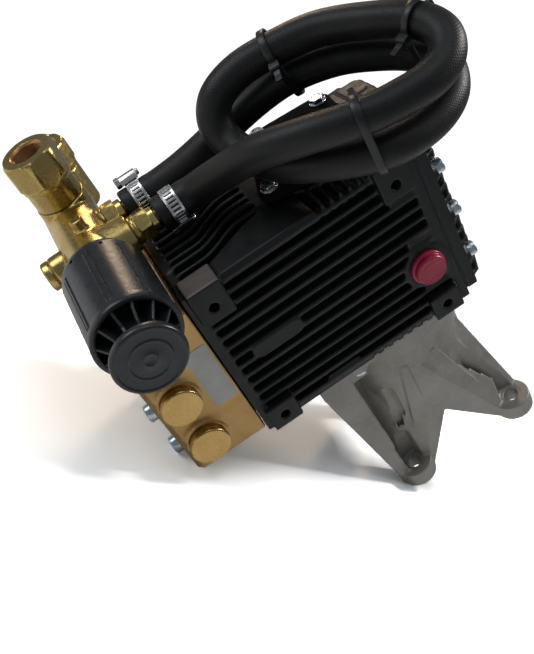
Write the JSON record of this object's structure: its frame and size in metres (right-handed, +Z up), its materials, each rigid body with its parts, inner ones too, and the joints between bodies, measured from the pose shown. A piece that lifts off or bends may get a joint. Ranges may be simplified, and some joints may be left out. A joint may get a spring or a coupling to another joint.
{
  "type": "pressure washer pump",
  "caption": "Vertical-shaft triplex plunger pump with finned crankcase, bell flange, brass manifold, adjustable unloader and coiled bypass hose.",
  "frame": {"origin": "centre of the four foot holes on the engine mounting plane, where the crank axis meets it", "axes": "+Z up the crank axis away from the engine, -X towards the brass manifold head, -Y out of the finned face with the four tapped holes"},
  "size_m": [0.2861, 0.2221, 0.3585],
  "materials": {
    "cast_black": "satin black powder coat over rough cast aluminium",
    "cast_grey": "as-cast grey aluminium, slightly matte",
    "steel_zinc": "bright zinc plated steel",
    "steel_ground": "ground bearing steel",
    "steel_crank": "forged steel, ground journals",
    "stainless": "brushed stainless steel",
    "ceramic": "polished technical ceramic",
    "brass_forged": "machined forged brass, warm and slightly matte",
    "brass_polished": "turned brass",
    "brass_olive": "passivated olive-gold brass casting",
    "rubber_black": "black nitrile rubber",
    "hose_rubber": "black hose cover with fabric texture",
    "gasket": "fibre gasket",
    "plastic_knob": "charcoal glass-filled nylon",
    "plastic_black": "black nylon",
    "plastic_red": "crimson plastic",
    "sight": "oil sight glass",
    "label": "blank printed film",
    "plastic_white": "acetal"
  },
  "bodies": {
    "pump_body": {"crankcase": "cast_black", "rear_cover": "cast_black", "rear_cover_gasket": "gasket", "rear_cover_screws": "steel_zinc", "sight_glass": "sight", "side_cover": "cast_black", "side_cover_screws": "steel_zinc", "engine_flange": "cast_grey", "flange_screws": "steel_zinc", "bearing_outer_races": "steel_ground", "drive_oil_seal": "rubber_black", "plunger_oil_seals": "rubber_black", "water_seals": "rubber_black", "seal_retainers": "brass_polished", "manifold_head": "brass_forged", "head_bolts": "steel_zinc", "head_bolt_washers": "steel_zinc", "valve_caps": "brass_polished", "valve_cap_orings": "rubber_black", "valve_seats": "stainless", "valve_cages": "plastic_white", "valve_springs": "stainless", "gallery_plugs": "brass_polished", "unloader_body": "brass_olive", "inlet_port_tube": "brass_olive", "outlet_port_tube": "brass_olive", "unloader_plug": "brass_olive", "unloader_spring": "steel_zinc", "hose_barbs": "brass_polished", "bypass_hose": "hose_rubber", "hose_clamps": "stainless", "cable_ties": "plastic_black", "oil_plug": "plastic_red", "label_plate": "label"},
    "crankshaft": {"crankshaft": "steel_crank", "bearing_inner_races": "steel_ground", "bearing_balls": "steel_ground"},
    "plunger_set_1": {"crosshead_1": "stainless", "wrist_pin_1": "steel_ground", "plunger_1": "ceramic"},
    "rod_1": {"connecting_rod_1": "cast_grey"},
    "plunger_set_2": {"crosshead_2": "stainless", "wrist_pin_2": "steel_ground", "plunger_2": "ceramic"},
    "rod_2": {"connecting_rod_2": "cast_grey"},
    "plunger_set_3": {"crosshead_3": "stainless", "wrist_pin_3": "steel_ground", "plunger_3": "ceramic"},
    "rod_3": {"connecting_rod_3": "cast_grey"},
    "poppet_1": {"valve_poppet_1": "stainless"},
    "poppet_2": {"valve_poppet_2": "stainless"},
    "poppet_3": {"valve_poppet_3": "stainless"},
    "poppet_4": {"valve_poppet_4": "stainless"},
    "poppet_5": {"valve_poppet_5": "stainless"},
    "poppet_6": {"valve_poppet_6": "stainless"},
    "piston": {"unloader_piston": "stainless"},
    "adjuster": {"spring_disc": "brass_polished"},
    "knob": {"adjusting_knob": "plastic_knob", "knob_cap": "plastic_knob"}
  },
  "joints": [
    {"name": "crank_spin", "type": "hinge", "parent": "pump_body", "child": "crankshaft", "pos_m": [0, 0, 0.2], "axis": [0, 0, 1], "continuous": true},
    {"name": "plunger_slide_1", "type": "slide", "parent": "pump_body", "child": "plunger_set_1", "axis": [1, 0, 0], "range_m": [-0.01, 0]},
    {"name": "rod_swing_1", "type": "hinge", "parent": "plunger_set_1", "child": "rod_1", "pos_m": [-0.07, 0, 0.172], "axis": [0, 0, 1], "range_deg": [-3.8, 3.8]},
    {"name": "plunger_slide_2", "type": "slide", "parent": "pump_body", "child": "plunger_set_2", "axis": [1, 0, 0], "range_m": [-0.0025, 0.0075]},
    {"name": "rod_swing_2", "type": "hinge", "parent": "plunger_set_2", "child": "rod_2", "pos_m": [-0.0775, 0, 0.213], "axis": [0, 0, 1], "range_deg": [-3.8, 3.8]},
    {"name": "plunger_slide_3", "type": "slide", "parent": "pump_body", "child": "plunger_set_3", "axis": [1, 0, 0], "range_m": [-0.0025, 0.0075]},
    {"name": "rod_swing_3", "type": "hinge", "parent": "plunger_set_3", "child": "rod_3", "pos_m": [-0.0775, 0, 0.254], "axis": [0, 0, 1], "range_deg": [-3.8, 3.8]},
    {"name": "valve_lift_1", "type": "slide", "parent": "pump_body", "child": "poppet_1", "axis": [0, -1, 0], "range_m": [0, 0.002]},
    {"name": "valve_lift_2", "type": "slide", "parent": "pump_body", "child": "poppet_2", "axis": [0, -1, 0], "range_m": [0, 0.002]},
    {"name": "valve_lift_3", "type": "slide", "parent": "pump_body", "child": "poppet_3", "axis": [0, -1, 0], "range_m": [0, 0.002]},
    {"name": "valve_lift_4", "type": "slide", "parent": "pump_body", "child": "poppet_4", "axis": [0, -1, 0], "range_m": [0, 0.002]},
    {"name": "valve_lift_5", "type": "slide", "parent": "pump_body", "child": "poppet_5", "axis": [0, -1, 0], "range_m": [0, 0.002]},
    {"name": "valve_lift_6", "type": "slide", "parent": "pump_body", "child": "poppet_6", "axis": [0, -1, 0], "range_m": [0, 0.002]},
    {"name": "unloader_slide", "type": "slide", "parent": "pump_body", "child": "piston", "axis": [0, -1, 0], "range_m": [0, 0.003]},
    {"name": "adjuster_slide", "type": "slide", "parent": "pump_body", "child": "adjuster", "axis": [0, -1, 0], "range_m": [0, 0.006]},
    {"name": "knob_turn", "type": "hinge", "parent": "adjuster", "child": "knob", "pos_m": [-0.152, -0.06, 0.3], "axis": [0, -1, 0], "range_deg": [0, 1440]}
  ],
  "couplings": [
    {"joint": "adjuster_slide", "follows": "knob_turn", "m_per_rad": 0.00023873}
  ]
}
